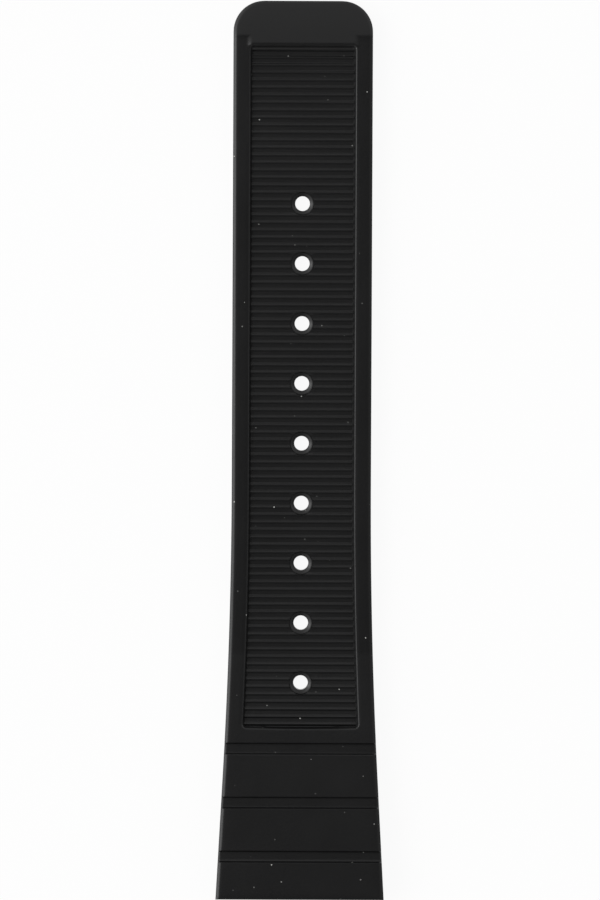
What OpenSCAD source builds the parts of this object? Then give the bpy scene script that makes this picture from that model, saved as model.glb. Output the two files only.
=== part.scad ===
// Moulded rubber watch strap, tail half, with the spring bar in its lug end.
// X runs across the strap, Y from the lug end to the tip, and Z up out of the ribbed wrist side.
// The origin is on the surface that the strap lies on, under the middle of its length.
// Inside the modules, s is the distance from the lug end, measured along Y.

/* [Strap] */
// Length from the lug end to the tip
strap_l = 117.4; // [116:0.2:124]
// Width of the lug end, the gap between the watch's lugs
lug_w = 22; // [21:0.5:24]
// Width of the parallel tail
tail_w = 18.2; // [17:0.1:19]
// Thickness at the lug end
lug_t = 4.2; // [4:0.1:4.6]
// Thickness of the side rails along the tail
band_t = 2.6; // [2.4:0.1:3]
// Distance from the lug end at which the flared sides would meet the tail's width
flare_meet = 35; // [32:0.5:40]
// Length of the curve on each side of that point
flare_ease = 19; // [12:0.5:22]
// Rounding of the top and bottom edges
edge_r = 0.5; // [0.3:0.05:0.5]

/* [Tip] */
// Radius of the tip's corners, seen from above
tip_r = 4.05; // [3:0.05:5]
// Length of the smooth tip pad, which ends the rails
pad_l = 4.3; // [4:0.05:5]
// Height of the pad over the rails where it ends them
pad_step = 0.08; // [0.05:0.01:0.15]
// Fall of the pad towards the tip, in degrees
pad_slope = 8; // [4:1:10]

/* [Ribbed panel] */
// Width of the smooth rail on each side of the panel
rail_w = 2.1; // [1.8:0.1:2.5]
// Distance from the lug end to the foot of the panel's end wall
panel_start = 22.6; // [22.4:0.05:22.75]
// Distance from the tip to the panel
panel_to_tip = 5.7; // [5.4:0.05:6]
// Depth of the rib tops below the rails
rib_drop = 0.35; // [0.2:0.05:0.45]
// Height of the ribs
rib_h = 0.35; // [0.31:0.01:0.4]
// Width of a rib at its top
rib_top_w = 0.38; // [0.3:0.02:0.44]
// Width of a rib at its foot
rib_foot_w = 0.62; // [0.5:0.02:0.66]
// How far the panel's side walls lean in from top to foot
wall_run = 0.45; // [0.2:0.05:0.6]
// Rounding of the panel's corners at the lug end, seen from above
panel_r = 1; // [0.6:0.1:1.5]

/* [Tongue holes] */
// Distance from the lug end to the nearest hole
first_hole = 28.32; // [28.2:0.01:28.5]
// Spacing of the holes
hole_pitch = 7.83; // [7.6:0.01:8]
// Radius of a hole
hole_r = 0.96; // [0.8:0.02:1.1]
// Radius of the dished rim round a hole
rim_r = 1.45; // [1.3:0.05:1.6]
// Depth of the dished rim below the rib valleys
rim_d = 0.3; // [0.2:0.02:0.4]
// How far the ribs' cut ends lean out over the rim
rim_lean = 0.08; // [0.04:0.01:0.2]

/* [Flex grooves] */
// Distance from the lug end to the middle of the first groove
first_groove = 5.65; // [5.2:0.05:6]
// Spacing of the three grooves
groove_pitch = 7.04; // [6.8:0.01:7.2]
// Width of a groove at its floor
groove_w = 1.4; // [1:0.1:1.6]
// How far each wall of a groove leans out from foot to top
groove_lean = 0.12; // [0.05:0.01:0.2]
// Depth of a groove, which reaches below the rounded edges
groove_d = 0.6; // [0.56:0.02:0.7]
// Width of the slit that parts two neighbouring pieces of the moulding
slit_w = 0.06; // [0.04:0.01:0.1]

/* [Spring bar] */
// Distance from the lug end to the bar's axis
bar_s = 2.3; // [2.2:0.1:2.6]
// Height of the bar's axis
bar_z = 2.05; // [1.9:0.05:2.2]
// Radius of the cross bore
bore_r = 0.98; // [0.96:0.01:1]
// Outer radius of the barrel
barrel_r = 0.9; // [0.88:0.01:0.92]
// Wall of the barrel
barrel_wall = 0.2; // [0.15:0.01:0.22]
// Length of the barrel
barrel_l = 18.4; // [17:0.1:19]
// Radius of the flange outside the barrel, which a tool pushes the plunger in by
flange_r = 0.7; // [0.6:0.02:0.76]
// Radius of the plungers' tips
tip_pin_r = 0.4; // [0.35:0.01:0.42]
// Travel of each plunger from its pressed place to its stop
plunger_travel = 1.1; // [0.8:0.1:1.2]
// Thickness of the spring's wire
wire_d = 0.2; // [0.16:0.02:0.22]
// Turns of the spring
spring_turns = 16; // [10:1:18]

/* [Hidden] */
$fn = 64;
HOLES = 9;
GROOVES = 3;
// Ribs in one hole spacing
RIBS_PER_HOLE = 8;
rib_pitch = hole_pitch / RIBS_PER_HOLE;
// Room past a face, so that a cut leaves no skin
over = 1;
flare_rate = (lug_w - tail_w) / 2 / flare_meet;
panel_end = strap_l - panel_to_tip;
pad_s = strap_l - pad_l;
panel_d = rib_drop + rib_h;
// The rim ends a hair above the valleys, so that it cuts their floor cleanly
rim_lift = 0.03;
// The strap is thickest at the lug end and reaches its even thickness past the nearest hole
taper_end = first_hole + hole_pitch / 2;
// Where the strap bends: in the grooves, then in the rib valleys halfway between the holes
flex_s = concat(
    [for (i = [0:GROOVES - 1]) first_groove + i * groove_pitch],
    [for (i = [0:HOLES + 1]) first_hole + (i - 0.5) * hole_pitch]
);
// The ends of the pieces between those lines
cut_s = concat([0], flex_s, [strap_l]);
LAST = len(cut_s) - 2;
FIRST_HOLED = GROOVES + 1;
rubber = "#232325";
steel = "#b9bcc0";

// The bar's own lengths, from the middle outwards
stem_r = tip_pin_r + 0.1;
mouth_r = stem_r + 0.05;
mouth_l = 0.25;
head_r = barrel_r - barrel_wall - 0.08;
head_l = 1;
spigot_r = 0.28;
spigot_l = 1;
// The head stops a hair short of the barrel's end
stop_x = barrel_l / 2 - mouth_l;
shoulder_x = stop_x - plunger_travel - 0.02;
flange_x = barrel_l / 2 + 0.1;
flange_l = 0.55;
head_x = shoulder_x - head_l;
// A pressed plunger ends just inside the strap's side
side_gap = 0.06;
tip_x = half_w(bar_s) - side_gap;
RINGS_PER_TURN = 8;
WIRE_SIDES = 6;
coil_r = 0.5;
coil_half = head_x - wire_d / 2;

// Half the strap's width: a straight flare, a curve, then the parallel tail
function half_w(s) =
    let (a = flare_meet - flare_ease, b = flare_meet + flare_ease)
    s < a ? lug_w / 2 - flare_rate * s
    : s > b ? tail_w / 2
    : tail_w / 2 + flare_rate * pow(b - s, 2) / (2 * (b - a));

// Height of the rails' top
function top_z(s) = band_t + (lug_t - band_t) * max(0, 1 - s / taper_end);

// Height of the tip pad's top
function pad_z(s) = band_t + pad_step - (s - pad_s) * tan(pad_slope);

// Middle of the ribs between a and b, counted from the nearest hole, which lies in a valley
function ribs(a, b) = [
    for (k = [-RIBS_PER_HOLE:RIBS_PER_HOLE * (HOLES + 3)])
        let (s = first_hole + (k + 0.5) * rib_pitch)
        if (s > max(a, panel_start + rib_top_w / 2) && s < min(b, panel_end - 0.3)) s
];

// Moves a shape from distances along the strap to the strap's own place
module placed() {
    translate([0, -strap_l / 2, 0]) children();
}

// A shape drawn in Y and Z, drawn out right across the strap
module across(w = lug_w + 2 * over) {
    rotate([90, 0, 90]) linear_extrude(height = w, center = true) children();
}

// What a rounded edge leaves off, with the solid below and to the left of the corner
module off_corner(r) {
    difference() {
        translate([-r, -r]) square(r + over);
        translate([-r, -r]) circle(r);
    }
}

// Rounds the edge that runs from p to q, with the solid on its left
module edge_cut(p, q, r, up = true) {
    d = q - p;
    run = norm(d);
    translate(p) rotate([asin(d.z / run), 0, -atan2(d.x, d.y)]) mirror([0, 0, up ? 0 : 1])
        translate([0, run / 2, 0]) rotate([90, 0, 0])
            linear_extrude(height = run + over, center = true) off_corner(r);
}

// Both long edges of a piece, on both sides
module side_edges(a, b) {
    for (side = [0, 1]) mirror([side, 0, 0]) {
        edge_cut([half_w(a), a, top_z(a)], [half_w(b), b, top_z(b)], edge_r);
        edge_cut([half_w(a), a, 0], [half_w(b), b, 0], edge_r, false);
    }
}

// One end of a piece seen from the side, from the underside up, at a plain cut or in a groove.
// The piece lies towards +Y for side = 1 and towards -Y for side = -1.
function plain_end(s, side) =
    let (end = s + side * slit_w / 2)
    [[end, 0], [end, top_z(end)]];

function groove_end(s, side) =
    let (
        end = s + side * slit_w / 2,
        foot = s + side * groove_w / 2,
        head = foot + side * groove_lean,
        z = top_z(s) - groove_d
    )
    [[end, 0], [end, z], [foot, z], [head, top_z(head)]];

function piece_end(i, s, side) =
    i == 0 ? [[s, 0], [s, top_z(s)]]
    : i <= GROOVES ? groove_end(s, side)
    : plain_end(s, side);

// Block of the strap between cuts i and i + 1, flat below
module slab(i, b) {
    a = cut_s[i];
    far_end = i < LAST ? piece_end(i + 1, b, -1) : [[b, 0], [b, top_z(b)]];
    intersection() {
        linear_extrude(height = lug_t + over)
            polygon([[-half_w(a), a], [half_w(a), a], [half_w(b), b], [-half_w(b), b]]);
        across() polygon(concat(
            piece_end(i, a, 1), [for (k = [len(far_end) - 1:-1:0]) far_end[k]]
        ));
    }
}

// The space over the ribs and valleys, as seen from the side
module over_ribs(a, b) {
    from = max(a, panel_start);
    to = min(b, panel_end);
    foot = rib_foot_w / 2;
    head = rib_top_w / 2;
    floor_a = top_z(from) - panel_d;
    floor_b = top_z(to) - panel_d;
    // The wall at the lug end leans like the side walls
    lean = a < panel_start ? wall_run / panel_d : 0;
    across() polygon(concat(
        [[from, floor_a]],
        [for (s = ribs(a, b)) let (z = top_z(s) - panel_d) each [
            [s - foot, z], [s - head, z + rib_h], [s + head, z + rib_h], [s + foot, z]
        ]],
        [[to, floor_b], [to, top_z(to) + over], [from - lean * (panel_d + over), top_z(from) + over]]
    ));
}

// The space inside one leaning side wall of the panel
module inside_wall(a, b) {
    p = [half_w(a) - rail_w, a, top_z(a)];
    q = [half_w(b) - rail_w, b, top_z(b)];
    d = q - p;
    run = norm(d);
    translate(p) rotate([asin(d.z / run), 0, -atan2(d.x, d.y)])
        rotate([0, atan(wall_run / panel_d), 0])
            translate([-2 * lug_w, -over, -lug_w])
                cube([2 * lug_w, run + 2 * over, 2 * lug_w]);
}

// Seen from above, the panel's round corners at its lug end
module round_start(a, b) {
    w = half_w(panel_start) - rail_w;
    start = panel_start - wall_run;
    difference() {
        translate([-lug_w / 2, a]) square([lug_w, b - a]);
        for (side = [0, 1]) mirror([side, 0]) difference() {
            translate([w - panel_r, a]) square([lug_w, start + panel_r - a]);
            translate([w - panel_r, start + panel_r]) circle(panel_r);
        }
    }
}

// The ribbed panel's share of the piece from a to b
module panel(a, b) {
    intersection() {
        over_ribs(a, b);
        inside_wall(a, b);
        mirror([1, 0, 0]) inside_wall(a, b);
        if (a < panel_start) linear_extrude(height = lug_t + over) round_start(a, b);
    }
}

// Through hole for a buckle's tongue, with its dished rim, which cuts valleys and ribs alike
module tongue_hole(s) {
    rim_z = top_z(s) - panel_d + rim_lift;
    translate([0, s, -over]) cylinder(r = hole_r, h = lug_t + 2 * over);
    translate([0, s, rim_z - rim_lift - rim_d]) cylinder(r1 = hole_r, r2 = rim_r, h = rim_d + rim_lift);
    translate([0, s, rim_z])
        cylinder(r1 = rim_r, r2 = rim_r + rim_lean * panel_d / rib_h, h = panel_d);
}

// Piece i of the moulding, counted from the lug end
module piece(i) {
    a = cut_s[i];
    b = cut_s[i + 1];
    difference() {
        slab(i, b);
        side_edges(a, b);
        if (b > panel_start) panel(a, b);
        if (i >= FIRST_HOLED && i < FIRST_HOLED + HOLES)
            tongue_hole(first_hole + (i - FIRST_HOLED) * hole_pitch);
    }
}

// Thick end with the cross bore, square at its end
module lug_end() {
    z = top_z(0);
    color(rubber) placed() difference() {
        piece(0);
        translate([0, bar_s, bar_z]) rotate([0, 90, 0])
            cylinder(r = bore_r, h = lug_w + 2 * over, center = true);
        edge_cut([-lug_w / 2, 0, z], [lug_w / 2, 0, z], edge_r);
        edge_cut([-lug_w / 2, 0, 0], [lug_w / 2, 0, 0], edge_r, false);
    }
}

module lug_link(i) {
    color(rubber) placed() piece(i);
}

// The plain field after the last groove, and the panel's first ribs
module panel_link() {
    color(rubber) placed() piece(GROOVES);
}

module holed_band(i) {
    color(rubber) placed() piece(GROOVES + i);
}

module plain_band() {
    color(rubber) placed() piece(LAST - 1);
}

// Seen from above, the strap's round-cornered end
module tip_plan(a) {
    w = tail_w / 2;
    translate([-w, a - over]) square([tail_w, strap_l - tip_r - a + over]);
    translate([-w + tip_r, a]) square([tail_w - 2 * tip_r, strap_l - a]);
    for (side = [-1, 1]) translate([side * (w - tip_r), strap_l - tip_r]) circle(tip_r);
}

// The smooth pad, with the tongue that it sends in between the rails
module tip_pad() {
    w = tail_w / 2 - rail_w;
    across(tail_w) polygon([
        [pad_s, 0], [strap_l, 0], [strap_l, pad_z(strap_l)], [pad_s, pad_z(pad_s)]
    ]);
    across(2 * w) polygon([
        [panel_end, 0], [pad_s, 0], [pad_s, pad_z(pad_s)], [panel_end, pad_z(panel_end)]
    ]);
}

// Smooth round-cornered end of the strap, with the panel's last ribs
module tip() {
    a = cut_s[LAST];
    w = tail_w / 2;
    color(rubber) placed() difference() {
        intersection() {
            union() {
                difference() {
                    slab(LAST, pad_s);
                    side_edges(a, pad_s - over);
                    panel(a, pad_s);
                }
                tip_pad();
            }
            linear_extrude(height = lug_t) tip_plan(a);
        }
        edge_cut([w - tip_r, strap_l, 0], [-w + tip_r, strap_l, 0], edge_r, false);
        for (side = [0, 1]) mirror([side, 0, 0]) translate([w - tip_r, strap_l - tip_r, 0])
            mirror([0, 0, 1]) rotate_extrude(angle = 90) translate([tip_r, 0]) off_corner(edge_r);
    }
}

// The bar's parts are drawn along X about its axis
module on_bar() {
    placed() translate([0, bar_s, bar_z]) children();
}

// A round piece along X, from x = a to x = b
module turned(r, a, b) {
    translate([a, 0, 0]) rotate([0, 90, 0]) cylinder(r = r, h = b - a);
}

// Tube whose ends are rolled in, so that the plungers' heads stay in it
module spring_bar_barrel() {
    half = barrel_l / 2;
    color(steel) on_bar() difference() {
        turned(barrel_r, -half, half);
        turned(barrel_r - barrel_wall, -stop_x, stop_x);
        turned(mouth_r, -half - over, half + over);
    }
}

// Tip, flange, stem, head and spigot of the right plunger, pressed in level with the strap's side
module plunger() {
    turned(tip_pin_r, flange_x, tip_x);
    turned(stem_r, shoulder_x, flange_x + flange_l);
    turned(flange_r, flange_x, flange_x + flange_l);
    turned(head_r, head_x, shoulder_x);
    turned(spigot_r, head_x - spigot_l, head_x);
}

module plunger_left() {
    color(steel) on_bar() mirror([1, 0, 0]) plunger();
}

module plunger_right() {
    color(steel) on_bar() plunger();
}

// Middle of the wire at ring i, and the wire's own ring about it
function coil_at(i) =
    let (turn = i / RINGS_PER_TURN, lead = 2 * coil_half / spring_turns)
    [turn * lead - coil_half, coil_r * cos(360 * turn), coil_r * sin(360 * turn)];

function wire_ring(i) =
    let (
        turn = 360 * i / RINGS_PER_TURN,
        climb = 2 * coil_half / spring_turns / (2 * PI * coil_r),
        out = [0, cos(turn), sin(turn)],
        along = [climb, -sin(turn), cos(turn)] / norm([climb, 1]),
        side = cross(along, out)
    )
    [for (k = [0:WIRE_SIDES - 1]) let (a = 360 * k / WIRE_SIDES)
        coil_at(i) + wire_d / 2 * (cos(a) * out + sin(a) * side)];

rings = spring_turns * RINGS_PER_TURN;
// Least room between two stretches of the wire that are more than a third of a turn apart
coil_gap = min([for (i = [0:rings - 4]) for (j = [i + 4:rings]) norm(coil_at(i) - coil_at(j))])
    - wire_d;
echo(str("least gap in the spring: ", coil_gap, " mm"));

// Compression coil between the plungers' heads
module spring_bar_spring() {
    n = WIRE_SIDES;
    points = [for (i = [0:rings]) each wire_ring(i)];
    walls = [for (i = [0:rings - 1]) for (k = [0:n - 1])
        let (a = i * n + k, b = i * n + (k + 1) % n)
        each [[a, a + n, b], [b, a + n, b + n]]];
    caps = [for (k = [1:n - 2]) each [
        [0, k, k + 1], [rings * n, rings * n + k + 1, rings * n + k]
    ]];
    color(steel) on_bar() polyhedron(points, concat(walls, caps));
}

lug_end();
for (i = [1:GROOVES - 1])
    lug_link(i);
panel_link();
for (i = [1:HOLES])
    holed_band(i);
plain_band();
tip();
spring_bar_barrel();
spring_bar_spring();
plunger_left();
plunger_right();
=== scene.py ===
# %% [markdown]
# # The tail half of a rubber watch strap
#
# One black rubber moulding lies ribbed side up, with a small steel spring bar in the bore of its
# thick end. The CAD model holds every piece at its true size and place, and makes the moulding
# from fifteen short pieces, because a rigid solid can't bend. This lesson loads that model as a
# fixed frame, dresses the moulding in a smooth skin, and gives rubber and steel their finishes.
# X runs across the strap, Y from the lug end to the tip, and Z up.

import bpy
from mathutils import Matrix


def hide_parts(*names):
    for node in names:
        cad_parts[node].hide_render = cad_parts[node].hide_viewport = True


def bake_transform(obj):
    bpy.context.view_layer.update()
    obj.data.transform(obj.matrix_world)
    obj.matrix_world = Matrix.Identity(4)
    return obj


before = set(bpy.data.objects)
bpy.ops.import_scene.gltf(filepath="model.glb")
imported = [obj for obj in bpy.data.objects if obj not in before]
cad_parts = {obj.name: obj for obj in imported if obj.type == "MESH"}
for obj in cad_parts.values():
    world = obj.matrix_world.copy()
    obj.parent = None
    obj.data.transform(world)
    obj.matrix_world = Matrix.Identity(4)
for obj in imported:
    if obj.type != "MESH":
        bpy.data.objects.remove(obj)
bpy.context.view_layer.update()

# %% Bring in Blender and the maths
import math

import bmesh
import bpy
from mathutils import Matrix, Vector

print("Blender", bpy.app.version_string)

# %% [markdown]
# ## The strap's measures
#
# The skin has to lie where the CAD pieces lie, so it repeats their measures. All of them are in
# millimetres, and s is the distance from the lug end along the strap. A reader who changes one
# here without changing the CAD source would pull the skin off the solids.
#
# The strap is thick and wide at the lug end. Its straight sides, if they ran on, would reach the
# tail's width at FLARE_MEET, and they ease into the tail over FLARE_EASE on either side of that.

# %% Measures of the moulding and the bar's bore
MM = 0.001
STRAP_L, LUG_W, TAIL_W = 117.4, 22.0, 18.2
LUG_T, BAND_T = 4.2, 2.6
FLARE_MEET, FLARE_EASE = 35.0, 19.0
EDGE_R, TIP_R = 0.5, 4.05
RAIL_W, WALL_RUN, PANEL_D = 2.1, 0.45, 0.7
PANEL_START, PANEL_END, PANEL_R = 22.6, 111.7, 1.0
PAD_S, PAD_SLOPE, PAD_BEND = 113.1, math.radians(6.5), 0.006
FIRST_HOLE, HOLE_PITCH, HOLES = 28.32, 7.83, 9
HOLE_R, RIM_R, RIM_D = 0.96, 1.45, 0.3
RIBS_PER_HOLE = 8
FIRST_GROOVE, GROOVE_PITCH, GROOVES = 5.65, 7.04, 3
BAR_S, BAR_Z, BORE_R = 2.3, 2.05, 0.98

RIB_PITCH = HOLE_PITCH / RIBS_PER_HOLE
TAPER_END = FIRST_HOLE + HOLE_PITCH / 2
FLARE_RATE = (LUG_W - TAIL_W) / 2 / FLARE_MEET

flex_lines = [FIRST_GROOVE + i * GROOVE_PITCH for i in range(GROOVES)]
flex_lines += [FIRST_HOLE + (i - 0.5) * HOLE_PITCH for i in range(HOLES + 2)]
print("flex lines:", [round(s, 2) for s in flex_lines])

# %% [markdown]
# ## Outline and thickness
#
# A real strap is made in a mould whose sides run straight from the lug end and then ease into a
# parallel tail. Both the width and the height of the smooth rails are plain functions of s, which
# is easier to keep exact than a mesh pushed about by hand.

# %% Width and thickness along the strap
def half_w(s):
    """Half the strap's width at s."""
    a, b = FLARE_MEET - FLARE_EASE, FLARE_MEET + FLARE_EASE
    if s < a:
        return LUG_W / 2 - FLARE_RATE * s
    if s > b:
        return TAIL_W / 2
    return TAIL_W / 2 + FLARE_RATE * (b - s) ** 2 / (2 * (b - a))


def rail_z(s):
    """Height of the rails' top at s."""
    return BAND_T + (LUG_T - BAND_T) * max(0.0, 1 - s / TAPER_END)


def pad_z(s):
    """Height of the tip pad's top at s. It slopes down to the tip, and a little more as it goes."""
    out = s - PAD_S
    return BAND_T - out * math.tan(PAD_SLOPE) - PAD_BEND * max(0.0, out) ** 2


print("width at the lug end, first hole and tip:",
      [round(2 * half_w(s), 2) for s in (0, FIRST_HOLE, STRAP_L)])

# %% Curves to put between two heights
def soft_step(t):
    """0 up to t = 0, 1 from t = 1 on, and a smooth curve in between."""
    t = min(1.0, max(0.0, t))
    return t * t * (3 - 2 * t)


def along(profile, at):
    """Height of a profile, drawn as (place, height) points, at one place."""
    if at <= profile[0][0]:
        return profile[0][1]
    for (p0, h0), (p1, h1) in zip(profile, profile[1:]):
        if at <= p1:
            return h0 + (h1 - h0) * (at - p0) / (p1 - p0)
    return profile[-1][1]


print("a soft step at a quarter, half and three quarters:", [soft_step(k / 4) for k in (1, 2, 3)])

# %% [markdown]
# ## Profiles of the small forms
#
# Moulded rubber has no razor edges: each rib, wall and groove leaves the tool with a small
# rounding, and that rounding is what catches the light. A bevel modifier could add it, but it
# struggles where ribs run into sloping walls. So each form is a short list of points, and the mesh
# takes its rows and columns from the same lists, so that no edge falls between two rows.
#
# A rib and a groove are measured from their own middle, a wall from the rails' inner edge, and the
# strap's top edge, a soft bevel, from the outline. The wall at the panel's tip end climbs to the
# pad, so its profile gives a share of the height there, from 0 at the top to 1 at the floor.

# %% Profiles, as (distance, depth)
RIB = [(0, 0.49), (0.03, 0.492), (0.055, 0.502), (0.08, 0.524), (0.175, 0.62), (0.2, 0.646),
       (0.225, 0.668), (0.255, 0.68), (0.29, 0.68), (0.49, 0.68)]
WALL = [(-0.06, 0), (-0.01, 0.008), (0.05, 0.04), (0.12, 0.105), (0.19, 0.2), (0.25, 0.33),
        (0.37, 0.64), (0.4, 0.69), (0.44, 0.7)]
PAD_WALL = [(0, 0), (0.05, 0.03), (0.12, 0.1), (0.36, 0.5), (0.43, 0.6), (0.9, 1)]
GROOVE = [(0, 0.45), (0.54, 0.45), (0.575, 0.447), (0.6, 0.43), (0.775, 0.03), (0.795, 0.008),
          (0.82, 0), (0.85, 0), (1.0, 0)]
TOP_EDGE = [(0, 0.28), (0.015, 0.2), (0.035, 0.16), (0.06, 0.145), (0.17, 0.095), (0.22, 0.072),
            (0.29, 0.045), (0.37, 0.02), (0.45, 0.006), (0.53, 0)]
EDGE = [d for d, _ in TOP_EDGE]
print("points in a rib, wall, groove and edge:", [len(p) for p in (RIB, WALL, GROOVE, TOP_EDGE)])

# %% Where the ribs and grooves lie
RIB_CLEAR_START, RIB_CLEAR_END = 0.19, 0.3

grooves = flex_lines[:GROOVES]
ribs = [FIRST_HOLE + (k + 0.5) * RIB_PITCH
        for k in range(-RIBS_PER_HOLE, RIBS_PER_HOLE * (HOLES + 3))]
ribs = [c for c in ribs if PANEL_START + RIB_CLEAR_START < c < PANEL_END - RIB_CLEAR_END]
print("ribs:", len(ribs), "grooves:", len(grooves))

# %% [markdown]
# ## Height of the moulding at any point
#
# One function gives the height of the top at every point of the plan. It starts from the rails or
# the tip pad, takes away the panel or a groove, and last lowers the outer edge. Adding a form is
# then one more line here, and two forms that meet are sorted out by taking the lower one.
#
# In these functions e is the distance in from the side, and d the distance in from the outline,
# which is the smaller of the two near an end. IN_PANEL is a place well inside the panel.

# %% The panel and the tip pad
LUG_WALL_SHARP, IN_PANEL = 1.4, 8.0
PAD_EASE, TONGUE_EASE, TONGUE_S = 0.6, 0.8, PANEL_END - 0.2


def panel_inset(s, e):
    """Distance in from the panel's outline, whose corners are round at the lug end."""
    a, b = e - RAIL_W, (s - PANEL_START) * LUG_WALL_SHARP + WALL_RUN
    if a < PANEL_R and b < PANEL_R:
        return PANEL_R - math.hypot(PANEL_R - a, PANEL_R - b)
    return min(a, b)


def panel_drop(s, e):
    """Depth of the ribbed panel below the rails."""
    nearest = min(abs(s - c) for c in ribs)
    return min(along(RIB, nearest), along(WALL, panel_inset(s, e)))


def pad_share(s, e):
    """0 on the rails, 1 on the tip pad and on the tongue that it sends in between them."""
    over_rails = soft_step((s - (PAD_S - PAD_EASE)) / PAD_EASE)
    tongue = soft_step((e - RAIL_W + TONGUE_EASE / 2) / TONGUE_EASE)
    return max(over_rails, tongue if s > TONGUE_S else 0.0)


print("panel's depth at the first hole's valley and rib:",
      [round(panel_drop(s, IN_PANEL), 3) for s in (FIRST_HOLE, FIRST_HOLE + RIB_PITCH / 2)])

# %% Top and underside
CROWN, CROWN_FROM, FLOOR_EDGE_R, WALL_LIP = 0.03, 1.6, 0.3, 0.1


def edge_drop(d, r=EDGE_R):
    """How far a rounded edge lies below the flat."""
    return r - math.sqrt(r * r - (r - d) ** 2) if d < r else 0.0


def top_height(s, e, d):
    """Height of the top."""
    crown = rail_z(s) + pad_share(s, e) * (pad_z(s) - rail_z(s))
    crown -= CROWN * max(0.0, 1 - d / CROWN_FROM) ** 2
    z = crown
    if PANEL_START - WALL_RUN - WALL_LIP < s < PANEL_END:
        low = rail_z(s) - panel_drop(s, e)
        z = min(z, crown + (low - crown) * along(PAD_WALL, PANEL_END - s))
    for middle in grooves:
        z -= along(GROOVE, abs(s - middle))
    if z < crown:
        z -= edge_drop(d, FLOOR_EDGE_R)
    return min(z, crown - along(TOP_EDGE, d))


print("top of the rail and of the panel at the first hole:",
      [round(top_height(FIRST_HOLE, e, e), 3) for e in (RAIL_W / 2, IN_PANEL)])

# %% [markdown]
# ## Rows and columns
#
# The skin is a grid of quads, which bends and shades better than a cut-up solid. Rows cross the
# strap wherever a profile has a corner, and columns run along it in the same way. A square corner
# of the grid is folded to the round corner of the tip: the larger of the two distances from the
# corner's middle becomes the radius, so the rounded edge follows the arc all the way.
#
# The lug end's edge is much sharper than the sides' edge, and the tip's a little sharper. END_SHARP
# and TIP_SHARP say how many times.

# %% Where the rows go
END_SHARP, TIP_SHARP = 4.0, 1.6
STEP, ROW_GAP, EASE_ROWS = 1.2, 0.025, 6
END_ROWS, GROOVE_ROW = [0.3, 0.9, 1.5], 0.3
PANEL_ROWS, TONGUE_ROW = [0.25, 0.4], 0.3
TIP_INSETS = EDGE + [0.8, 1.15, 1.5, 1.9, 2.3, 2.75, 3.25, TIP_R]
steps = [STEP * k for k in range(int(STRAP_L / STEP) + 1)]


def rows_between(a, b):
    """Every place from a to b where a row of points crosses the strap."""
    marks = [d / END_SHARP for d in EDGE] + END_ROWS + [STRAP_L - d for d in TIP_INSETS]
    for c in ribs:
        marks += [c + side * p for p, _ in RIB[:-1] for side in (-1, 1)]
    for c in grooves:
        marks += [c + side * p for p, _ in GROOVE for side in (-1, 1)]
        marks += [c - GROOVE_ROW, c + GROOVE_ROW]
    marks += [PANEL_START + (p - WALL_RUN) / LUG_WALL_SHARP for p, _ in WALL]
    marks += [PANEL_START + p for p in PANEL_ROWS]
    marks += [PANEL_END - p for p, _ in PAD_WALL] + [PANEL_END + TONGUE_ROW]
    marks += [PAD_S - PAD_EASE * k / EASE_ROWS for k in range(EASE_ROWS + 1)]
    marks += [s for s in steps if not PANEL_START < s < PANEL_END]
    kept = [a]
    for s in sorted(marks):
        if s - kept[-1] > ROW_GAP and b - s > ROW_GAP:
            kept.append(s)
    return kept + [b]


print("rows in one hole pitch:", len(rows_between(FIRST_HOLE, FIRST_HOLE + HOLE_PITCH)))

# %% Where the columns go
SIDE_INSETS = EDGE + [0.85, 1.2, 1.6] + [RAIL_W + p for p, _ in WALL]
CENTRE_BAND, COLUMN_GAP = 1.75, 0.02


def insets_at(s, near_tip):
    """Distances in from the side, from the outline to the centre band."""
    marks = SIDE_INSETS
    if near_tip:
        tongue = [RAIL_W + TONGUE_EASE * (k / EASE_ROWS - 0.5) for k in range(EASE_ROWS + 1)]
        marks = sorted(set(SIDE_INSETS + TIP_INSETS + tongue))
        marks = [m for i, m in enumerate(marks) if i == 0 or m - marks[i - 1] > COLUMN_GAP]
    inner = half_w(s) - CENTRE_BAND
    return marks + [(marks[-1] + inner) / 2, inner]


print("columns across the band:", 2 * len(insets_at(FIRST_HOLE, False)))

# %% Where a grid point lies in plan
def in_plan(s, e, near_tip):
    """Distance out from the middle, place along the strap, and distance in from the outline."""
    w, b = half_w(s), STRAP_L - s
    if near_tip and e < TIP_R and b < TIP_R:
        p, q = TIP_R - e, TIP_R - b
        ring = max(p, q)
        turn = math.pi / 4 * (q / p if p >= q else 2 - p / q)
        d = (TIP_R - ring) * (1 + (TIP_SHARP - 1) * math.sin(turn) ** 2)
        return w - TIP_R + ring * math.cos(turn), STRAP_L - TIP_R + ring * math.sin(turn), d
    return w - e, s, min(e, b * TIP_SHARP, s * END_SHARP)


def point(x, s, z):
    """A point of the strap in the frame, in metres."""
    return Vector((x * MM, (s - STRAP_L / 2) * MM, z * MM))


print("the grid's corner lands at:", [round(v, 2) for v in in_plan(STRAP_L, 0, True)[:2]])

# %% [markdown]
# ## One length of moulding
#
# Each length is a closed shell: a top sheet, an underside with the same rows, strips down both
# sides and a cap at each end. The caps of two neighbours touch inside the rubber, where nothing
# shows. The underside is plain, so it does with fewer columns, except near the tip, where both
# sheets fold round the same corners.

# %% From points and faces to an object
def to_object(bm, name):
    """Put what was drawn into the scene."""
    mesh = bpy.data.meshes.new(name)
    bm.to_mesh(mesh)
    bm.free()
    made = bpy.data.objects.new(name, mesh)
    bpy.context.scene.collection.objects.link(made)
    return made


def closed_shape(bm, name):
    """The same for a closed shape, whose faces are all turned to look outwards first."""
    bmesh.ops.recalc_face_normals(bm, faces=bm.faces)
    return to_object(bm, name)


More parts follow.
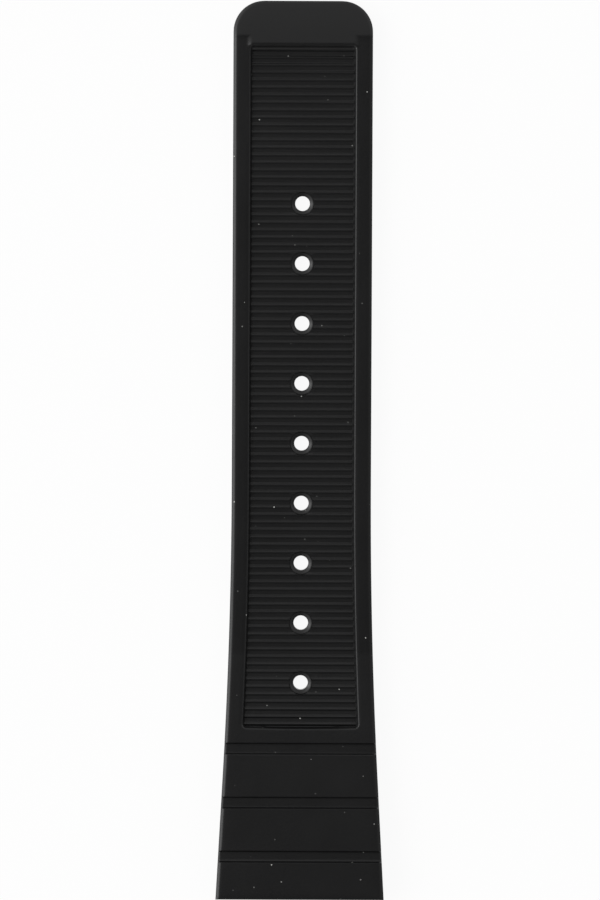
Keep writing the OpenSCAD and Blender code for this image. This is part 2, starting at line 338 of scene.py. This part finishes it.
# %% The grid shell
def top_and_underside(bm, a, b, near_tip):
    """Both sheets' points, row by row, from the left side to the right."""
    top, under = [], []
    for s in rows_between(a, b):
        insets = insets_at(s, near_tip)
        plain = insets if near_tip else EDGE + insets[-2:]
        for sheet, marks in ((top, insets), (under, plain)):
            row = []
            for side, e in [(-1, e) for e in marks] + [(1, e) for e in reversed(marks)]:
                x, at, d = in_plan(s, e, near_tip)
                z = top_height(at, max(e, d), d) if sheet is top else edge_drop(d)
                row.append(bm.verts.new(point(side * x, at, z)))
            sheet.append(row)
    return top, under


def shell(name, a, b, near_tip=False):
    """The moulding from a to b."""
    bm = bmesh.new()
    top, under = top_and_underside(bm, a, b, near_tip)
    for sheet in (top, under):
        for row, ahead in zip(sheet, sheet[1:]):
            for i in range(len(row) - 1):
                bm.faces.new((row[i], row[i + 1], ahead[i + 1], ahead[i]))
    for i in (0, -1):
        for k in range(len(top) - 1):
            bm.faces.new((top[k][i], top[k + 1][i], under[k + 1][i], under[k][i]))
    for k in (0, -1):
        if near_tip:
            for i in range(len(top[k]) - 1):
                bm.faces.new((top[k][i], top[k][i + 1], under[k][i + 1], under[k][i]))
        else:
            bm.faces.new(top[k] + list(reversed(under[k])))
    return closed_shape(bm, name)


print("rows from the lug end to the tip:", len(rows_between(0, STRAP_L)))

# %% [markdown]
# ## Cutters for the round holes
#
# The tongue holes are punched through ribs and valleys alike, so a grid can't follow them. Here a
# boolean does better: a solid of revolution, spun from a short profile, is taken away from the
# shell. The same helper turns the cutter for the cross bore that the spring bar lies in. Both
# profiles flare a little where the hole meets a face, which leaves a rounded lip.

# %% Turned cutters and the boolean
CUTTER_SIDES = 64


def join_rings(bm, rings):
    """Walls from ring to ring, and a face over each end."""
    for ring, ahead in zip(rings, rings[1:]):
        for k in range(len(ring)):
            after = (k + 1) % len(ring)
            bm.faces.new((ring[k], ring[after], ahead[after], ahead[k]))
    bm.faces.new(list(reversed(rings[0])))
    bm.faces.new(rings[-1])


def turned(name, profile, turn_to, centre):
    """A closed solid spun from (radius, height) points about an axis through centre."""
    bm = bmesh.new()
    rings = []
    for r, h in profile:
        angles = [2 * math.pi * (k + 0.5) / CUTTER_SIDES for k in range(CUTTER_SIDES)]
        rings.append([
            bm.verts.new(centre + turn_to @ (Vector((r * math.cos(a), r * math.sin(a), h)) * MM))
            for a in angles
        ])
    join_rings(bm, rings)
    return closed_shape(bm, name)


def take_away(piece, cutter):
    """Cut the piece with the cutter, and throw the cutter away."""
    cut = piece.modifiers.new("cut", "BOOLEAN")
    cut.operation, cut.solver, cut.object = "DIFFERENCE", "EXACT", cutter
    bpy.context.view_layer.objects.active = piece
    bpy.ops.object.modifier_apply(modifier=cut.name)
    bpy.data.objects.remove(cutter, do_unlink=True)


print("sides of a cutter:", CUTTER_SIDES)

# %% A tongue hole, and the bar's bore
def punch_hole(piece, s):
    """A round hole at s, with a dished rim sunk below the panel's valleys."""
    valley = rail_z(s) - PANEL_D
    low = valley - RIM_D
    profile = [
        (HOLE_R + 0.08, -1), (HOLE_R + 0.08, 0), (HOLE_R + 0.02, 0.05), (HOLE_R, 0.12),
        (HOLE_R, low - 0.06), (HOLE_R + 0.02, low - 0.01), (HOLE_R + 0.06, low + 0.02),
        (HOLE_R + 0.2, low + 0.07), (RIM_R - 0.15, low + 0.14), (RIM_R, low + 0.24),
        (RIM_R + 0.06, valley + 0.03), (RIM_R + 0.1, valley + 0.3), (RIM_R + 0.1, valley + 1.3),
    ]
    take_away(piece, turned("punch", profile, Matrix.Identity(3), point(0, s, 0)))


def drill_bore(piece):
    """The cross bore for the spring bar, open at both sides."""
    mouth = half_w(BAR_S)
    flare = [(BORE_R, 0.2), (BORE_R + 0.04, 0.12), (BORE_R + 0.32, -0.02), (BORE_R + 0.32, -1)]
    profile = [(r, depth - mouth) for r, depth in reversed(flare)]
    profile += [(r, mouth - depth) for r, depth in flare]
    across = Matrix.Rotation(math.pi / 2, 3, "Y")
    take_away(piece, turned("drill", profile, across, point(0, BAR_S, BAR_Z)))


print("hole, rim and bore across:", [round(2 * r, 2) for r in (HOLE_R, RIM_R, BORE_R)])

# %% [markdown]
# ## The whole moulding
#
# Rubber bends in a smooth curve, but a frame of rigid bodies only turns about hinges. So each
# length of skin reaches from the middle of one CAD piece to the middle of the next, across the
# hinge that joins them, and the two CAD pieces it covers are hidden.

# %% Make the fourteen lengths
MOULDING = ["lug_end", "lug_link_1", "lug_link_2", "panel_link"]
MOULDING += [f"holed_band_{i + 1}" for i in range(HOLES)] + ["plain_band", "tip"]
NAMES = ["lug_moulding", "link_moulding_1", "link_moulding_2", "panel_moulding"]
NAMES += [f"band_moulding_{i + 1}" for i in range(HOLES)] + ["tip_moulding"]
SMOOTH_UNDER = math.radians(40)
GROOVE_REACH, TOUCH = 2.6, 0.01

meets = [0.0] + [(a + b) / 2 for a, b in zip(flex_lines, flex_lines[1:])] + [STRAP_L]
holes = [FIRST_HOLE + i * HOLE_PITCH for i in range(HOLES)]
strap = []
for i, name in enumerate(NAMES):
    a, b = meets[i], meets[i + 1]
    piece = shell(name, a, b, near_tip=name == "tip_moulding")
    if i == 0:
        drill_bore(piece)
    for s in holes:
        if a - TOUCH < s < b + TOUCH:
            punch_hole(piece, s)
    piece.data.shade_smooth()
    piece.data.set_sharp_from_angle(angle=SMOOTH_UNDER)
    hinge = flex_lines[i]
    reach = GROOVE_REACH if i < GROOVES else min(hinge - a, b - hinge, HOLE_PITCH / 2)
    point(0, hinge - reach, 0)
    point(0, hinge + reach, 0)
    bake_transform(piece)
    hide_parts(MOULDING[i], MOULDING[i + 1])
    strap.append(piece)
print("moulding:", len(strap), "lengths,", sum(len(p.data.polygons) for p in strap), "faces")

# %% [markdown]
# ## The coil spring
#
# Inside the bar's barrel a coil of thin wire pushes the two plungers apart. Each half of it is
# held at the middle and carried by a plunger at its other end, so the coil is made as two halves
# that meet at the middle, each running from there towards its own plunger. The wire is swept as
# rings round a helix, which keeps its section round at every turn.

# %% One half of the coil
COIL_R, WIRE_R, COIL_TURNS, COIL_HALF = 0.5, 0.1, 16, 6.73
RINGS_PER_TURN, WIRE_SIDES = 20, 10


def coil_half(name, side):
    """The wire from the middle of the bar to one plunger."""
    bm = bmesh.new()
    rings = []
    lead = 2 * COIL_HALF / COIL_TURNS
    around = [2 * math.pi * k / WIRE_SIDES for k in range(WIRE_SIDES)]
    for i in range(COIL_TURNS // 2 * RINGS_PER_TURN + 1):
        turn = 2 * math.pi * i / RINGS_PER_TURN * side
        out = Vector((0, math.cos(turn), math.sin(turn)))
        middle = Vector((side * i / RINGS_PER_TURN * lead, 0, 0)) + COIL_R * out
        run = Vector((lead / (2 * math.pi * COIL_R), -math.sin(turn), math.cos(turn))).normalized()
        up = run.cross(out)
        rings.append([
            bm.verts.new(point(0, BAR_S, BAR_Z)
                         + MM * (middle + WIRE_R * (math.cos(a) * out + math.sin(a) * up)))
            for a in around
        ])
    join_rings(bm, rings)
    coil = closed_shape(bm, name)
    coil.data.shade_smooth()
    coil.data.set_sharp_from_angle(angle=SMOOTH_UNDER)
    return coil


print("wire:", 2 * WIRE_R, "mm thick,", COIL_TURNS, "turns")

# %% Wind both halves
coils = []
for side, plunger in ((-1, "plunger_left"), (1, "plunger_right")):
    coil = coil_half("coil_" + plunger.split("_")[1], side)
    point(0, BAR_S, BAR_Z)
    point(side * COIL_HALF, BAR_S, BAR_Z)
    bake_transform(coil)
    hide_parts("spring_bar_spring")
    coils.append(coil)
print("coil:", [len(c.data.polygons) for c in coils], "faces")

# %% [markdown]
# ## Shader maths in plain Python
#
# Node trees are easier to read as sums. This small class wraps an output socket, and its operators
# add the Math nodes, so that 1 - mask works as it looks. Everything else comes from one method,
# which takes the kind of node, its settings and what goes into its sockets.

# %% Sockets that add up
class Signal:
    """An output socket that can be used in sums."""

    def __init__(self, finish, socket):
        self.finish, self.socket = finish, socket

    def _math(self, operation, first, second):
        return self.finish.node("ShaderNodeMath", {"operation": operation}, {0: first, 1: second})

    def __add__(self, other):
        return self._math("ADD", self, other)

    def __sub__(self, other):
        return self._math("SUBTRACT", self, other)

    def __rsub__(self, other):
        return self._math("SUBTRACT", other, self)

    def __mul__(self, other):
        return self._math("MULTIPLY", self, other)

    def __lt__(self, other):
        return self._math("LESS_THAN", self, other)

    def __gt__(self, other):
        return self._math("GREATER_THAN", self, other)

    __radd__, __rmul__ = __add__, __mul__


print("sums ready")

# %% A finish that makes nodes
class Finish:
    """A node tree that is built one node at a time."""

    def __init__(self, tree):
        self.tree = tree
        tree.nodes.clear()

    def node(self, kind, settings=(), sockets=(), out=0):
        """Add a node, set it up, fill its sockets, and give back one of its outputs."""
        made = self.tree.nodes.new(kind)
        for name, value in dict(settings).items():
            setattr(made, name, value)
        for name, value in dict(sockets).items():
            spot = made.inputs[name]
            if isinstance(value, Signal):
                self.tree.links.new(value.socket, spot)
            else:
                spot.default_value = value
        return Signal(self, made.outputs[out]) if len(made.outputs) else None


def finish_for(name):
    """A new material and its empty node tree."""
    material = bpy.data.materials.new(name)
    material.use_nodes = True
    return material, Finish(material.node_tree)


def noise(mix, place, scale, detail, roughness):
    """Soft random patches, about 1 / scale metres across."""
    return mix.node("ShaderNodeTexNoise", {}, {
        "Vector": place, "Scale": scale, "Detail": detail, "Roughness": roughness})


def between(mix, share, first, second):
    """The first colour at share 0, the second at share 1."""
    return mix.node("ShaderNodeMix", {"data_type": "RGBA"}, {0: share, 6: first, 7: second}, out=2)


print("materials so far:", len(bpy.data.materials))

# %% [markdown]
# ## Black rubber
#
# Moulded rubber is nearly black and only faintly glossy. Up close it has a fine grain from the
# mould, patches that shine a little more where it has been handled, and a few specks of dust that
# its static charge pulls in. The grain is a bump that the light finds, and the patches and the
# dust change roughness and colour a little. All of it comes from noise in the object's own space,
# so that the pattern runs on from one length of moulding to the next.
#
# Each cell of a Voronoi pattern can hold one speck of dust, near its middle. The cell's random
# colour says how bright the speck is, and it is squared so that most are faint.

# %% Colours and sizes
RUBBER, RUBBER_WORN = (0.0035, 0.0035, 0.0037, 1), (0.005, 0.005, 0.0052, 1)
DUST, DUST_BRIGHT = (0.05, 0.05, 0.048, 1), (0.5, 0.5, 0.48, 1)
DUST_CELL, DUST_R, DUST_BELOW = 1.75 * MM, 0.09 * MM, 0.56
print("a speck of dust is up to", round(2 * DUST_R / MM, 2), "mm across")

# %% The rubber's finish
rubber, mix = finish_for("satin_black_rubber")
place = mix.node("ShaderNodeTexCoord", out="Object")
handled = noise(mix, place, scale=160, detail=3, roughness=0.5)
grain = noise(mix, place, scale=3200, detail=4, roughness=0.6)
flow = noise(mix, place, scale=700, detail=2, roughness=0.5)
cells = {"Vector": place, "Scale": 1 / DUST_CELL}
from_middle = mix.node("ShaderNodeTexVoronoi", {"feature": "F1"}, cells)
cell_colour = mix.node("ShaderNodeTexVoronoi", {"feature": "F1"}, cells, out=1)
chance = mix.node("ShaderNodeSeparateXYZ", {}, {0: cell_colour})
dusty = (from_middle < DUST_R / DUST_CELL) * (flow < DUST_BELOW)
worn = between(mix, handled, RUBBER, RUBBER_WORN)
dust = between(mix, chance * chance, DUST, DUST_BRIGHT)
relief = mix.node("ShaderNodeBump", {}, {
    "Height": grain + 0.5 * flow + 2.5 * dusty, "Strength": 0.2, "Distance": 0.04 * MM})
surface = mix.node("ShaderNodeBsdfPrincipled", {}, {
    "Base Color": between(mix, dusty, worn, dust),
    "Roughness": 0.26 + 0.06 * handled + 0.04 * grain + 0.3 * dusty,
    "Specular IOR Level": 0.4, "Normal": relief})
mix.node("ShaderNodeOutputMaterial", {}, {"Surface": surface})
for piece in strap:
    piece.data.materials.clear()
    piece.data.materials.append(rubber)
print("rubber on", len(strap), "lengths")

# %% [markdown]
# ## Turned steel
#
# The spring bar is turned from bright stainless steel, and the cutting tool leaves fine rings
# round it. They are noise that is squeezed along the bar's axis, so it changes quickly along X and
# hardly at all around it. The CAD barrel and plungers are true to shape, so they stay and only
# take this finish.

# %% The steel's finish
STEEL, STEEL_DULL = (0.58, 0.585, 0.6, 1), (0.47, 0.475, 0.49, 1)
SQUEEZE = (9000, 500, 500)

steel, mix = finish_for("turned_steel")
place = mix.node("ShaderNodeTexCoord", out="Object")
squeezed = mix.node("ShaderNodeMapping", {}, {"Vector": place, "Scale": SQUEEZE})
tool_rings = noise(mix, squeezed, scale=1, detail=4, roughness=0.6)
film = noise(mix, place, scale=900, detail=3, roughness=0.5)
relief = mix.node("ShaderNodeBump", {}, {
    "Height": tool_rings, "Strength": 0.25, "Distance": 0.01 * MM})
surface = mix.node("ShaderNodeBsdfPrincipled", {}, {
    "Base Color": between(mix, film, STEEL, STEEL_DULL), "Metallic": 1.0,
    "Roughness": 0.2 + 0.12 * film + 0.1 * tool_rings, "Normal": relief})
mix.node("ShaderNodeOutputMaterial", {}, {"Surface": surface})
for name in ("spring_bar_barrel", "plunger_left", "plunger_right"):
    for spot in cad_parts[name].material_slots:
        spot.material = steel
for coil in coils:
    coil.data.materials.append(steel)
print("steel on the barrel, two plungers and", len(coils), "half coils")

# %% [markdown]
# ## Floor
#
# The photograph has a pure white ground. More light would wash the rubber out, so the ground is
# lifted instead: what the camera sees of it is mostly a glow of strength 1, which is white, mixed
# with a pale diffuse floor that still takes the strap's shadow. Gloss shows the same ground.

# %% The floor and its finish
FLOOR_SIZE, FLOOR_SQUARES, FLOOR_DROP = 30.0, 8, 0.02 * MM
FLOOR, WHITE = (0.9, 0.9, 0.9, 1), (1, 1, 1, 1)
GLOW_SHARE = 0.93


def seen(mix):
    """1 for a ray from the camera, or from gloss or glass that shows the background."""
    from_camera, from_gloss, from_glass = (
        mix.node("ShaderNodeLightPath", out=f"Is {ray} Ray")
        for ray in ("Camera", "Glossy", "Transmission"))
    larger = {"operation": "MAXIMUM"}
    from_surface = mix.node("ShaderNodeMath", larger, {0: from_gloss, 1: from_glass})
    return mix.node("ShaderNodeMath", larger, {0: from_camera, 1: from_surface})


bm = bmesh.new()
bmesh.ops.create_grid(bm, x_segments=FLOOR_SQUARES, y_segments=FLOOR_SQUARES, size=FLOOR_SIZE / 2,
                      matrix=Matrix.Translation((0, 0, -FLOOR_DROP)))
floor = to_object(bm, "floor")

pale, mix = finish_for("pale_floor")
matt = mix.node("ShaderNodeBsdfDiffuse", {}, {"Color": FLOOR})
glow = mix.node("ShaderNodeEmission", {}, {"Color": WHITE, "Strength": 1.0})
ground = mix.node("ShaderNodeMixShader", {}, {0: GLOW_SHARE * seen(mix), 1: matt, 2: glow})
mix.node("ShaderNodeOutputMaterial", {}, {"Surface": ground})
floor.data.materials.append(pale)
print("floor:", FLOOR_SIZE, "m wide")

# %% [markdown]
# ## Light tent
#
# Black rubber shows hardly any colour of its own. What one sees is what it mirrors, so the shades
# in the photograph come from the room around the strap: a dark ceiling, a bright wall on the left,
# which draws the thin line along the left edge and lights the panel's right wall, and dimmer walls
# on the other sides. The world paints this room by direction.
#
# The walls brighten towards the horizon. The left one is dimmed near its foot, because a low
# camera on the right would see it mirrored in the top of the strap as plain glare. Close to the
# horizon all of it turns white, so that a low view has a white background too.

# %% The world as a light tent
CEILING, LEFT_WALL, RIGHT_WALL, FAR_WALL, NEAR_WALL = 0.042, 1.0, 0.46, 0.6, 0.28
LEFT_CURVE, FOOT_DIM = 1.6, 0.7


def ramp(mix, value, start, end):
    """0 at start, 1 at end, a smooth curve in between, and level beyond both."""
    return mix.node("ShaderNodeMapRange", {"interpolation_type": "SMOOTHSTEP"},
                    {"Value": value, "From Min": start, "From Max": end})


world = bpy.data.worlds.new("studio")
bpy.context.scene.world = world
world.use_nodes = True
mix = Finish(world.node_tree)
way = mix.node("ShaderNodeTexCoord", out="Generated")
x, y, z = (mix.node("ShaderNodeSeparateXYZ", {}, {0: way}, out=axis) for axis in range(3))
left_side = (x < 0) * (LEFT_CURVE * x * x - x)
right_side, lug_side = (x > 0) * x, (y < 0) * y * y
tip_side = ramp(mix, y, 0.02, 0.28)
foot, level = ramp(mix, z, 0.5, 0.22), ramp(mix, z, 0.18, 0.08)
tent = (CEILING + LEFT_WALL * left_side * (1 - FOOT_DIM * foot) + RIGHT_WALL * right_side
        + FAR_WALL * tip_side + NEAR_WALL * lug_side)
sky = mix.node("ShaderNodeBackground", {}, {"Color": WHITE, "Strength": tent + level * (1 - tent)})
mix.node("ShaderNodeOutputWorld", {}, {"Surface": sky})
print("ceiling:", CEILING, "left wall:", LEFT_WALL)

# %% [markdown]
# ## Lamp
#
# One broad lamp hangs high on the left. It adds little to the rubber's shades, but its faint
# shadow settles the strap on the ground. An area lamp of this size keeps the shadow's edge soft,
# where a small one would draw a hard line.

# %% The lamp on the left
LAMP_PLACE, LAMP_SIZE, LAMP_POWER = Vector((-0.46, 0.06, 0.48)), 0.28, 0.75

light = bpy.data.lights.new("left_lamp", "AREA")
light.shape, light.size, light.energy = "SQUARE", LAMP_SIZE, LAMP_POWER
lamp = bpy.data.objects.new("left_lamp", light)
lamp.location = LAMP_PLACE
lamp.rotation_euler = (-LAMP_PLACE).to_track_quat("-Z", "Y").to_euler()
lamp.visible_camera = False
bpy.context.scene.collection.objects.link(lamp)
print("lamp:", round(LAMP_PLACE.length, 2), "m away,", LAMP_POWER, "W")

# %% [markdown]
# ## Camera
#
# The photograph looks straight down from a little towards the tip, from nearly a metre away. A
# long lens gives the same flat perspective, and a quarter of a degree of roll leans the tip to the
# right as it leans there.

# %% Camera at the photograph's angle
EYE, AIM = Vector((0, 30.06, 900)) * MM, Vector((-0.195, 0.06, 1.3)) * MM
ROLL = math.radians(0.25)
SENSOR, LENS = 36, 275

view = bpy.data.cameras.new("camera")
view.sensor_width, view.lens = SENSOR, LENS
view.clip_start, view.clip_end = 0.01, 10
camera = bpy.data.objects.new("camera", view)
camera.location = EYE + Vector((AIM.x, 0, 0))
back = (camera.location - AIM).normalized()
right = Vector((0, 1, 0)).cross(back).normalized()
upright = Matrix((right, back.cross(right), back)).transposed()
camera.rotation_mode = "QUATERNION"
camera.rotation_quaternion = (upright @ Matrix.Rotation(ROLL, 3, "Z")).to_quaternion()
bpy.context.scene.collection.objects.link(camera)
bpy.context.scene.camera = camera
bpy.context.scene.view_settings.view_transform = "Standard"
print("camera", round((camera.location - AIM).length, 3), "m away")
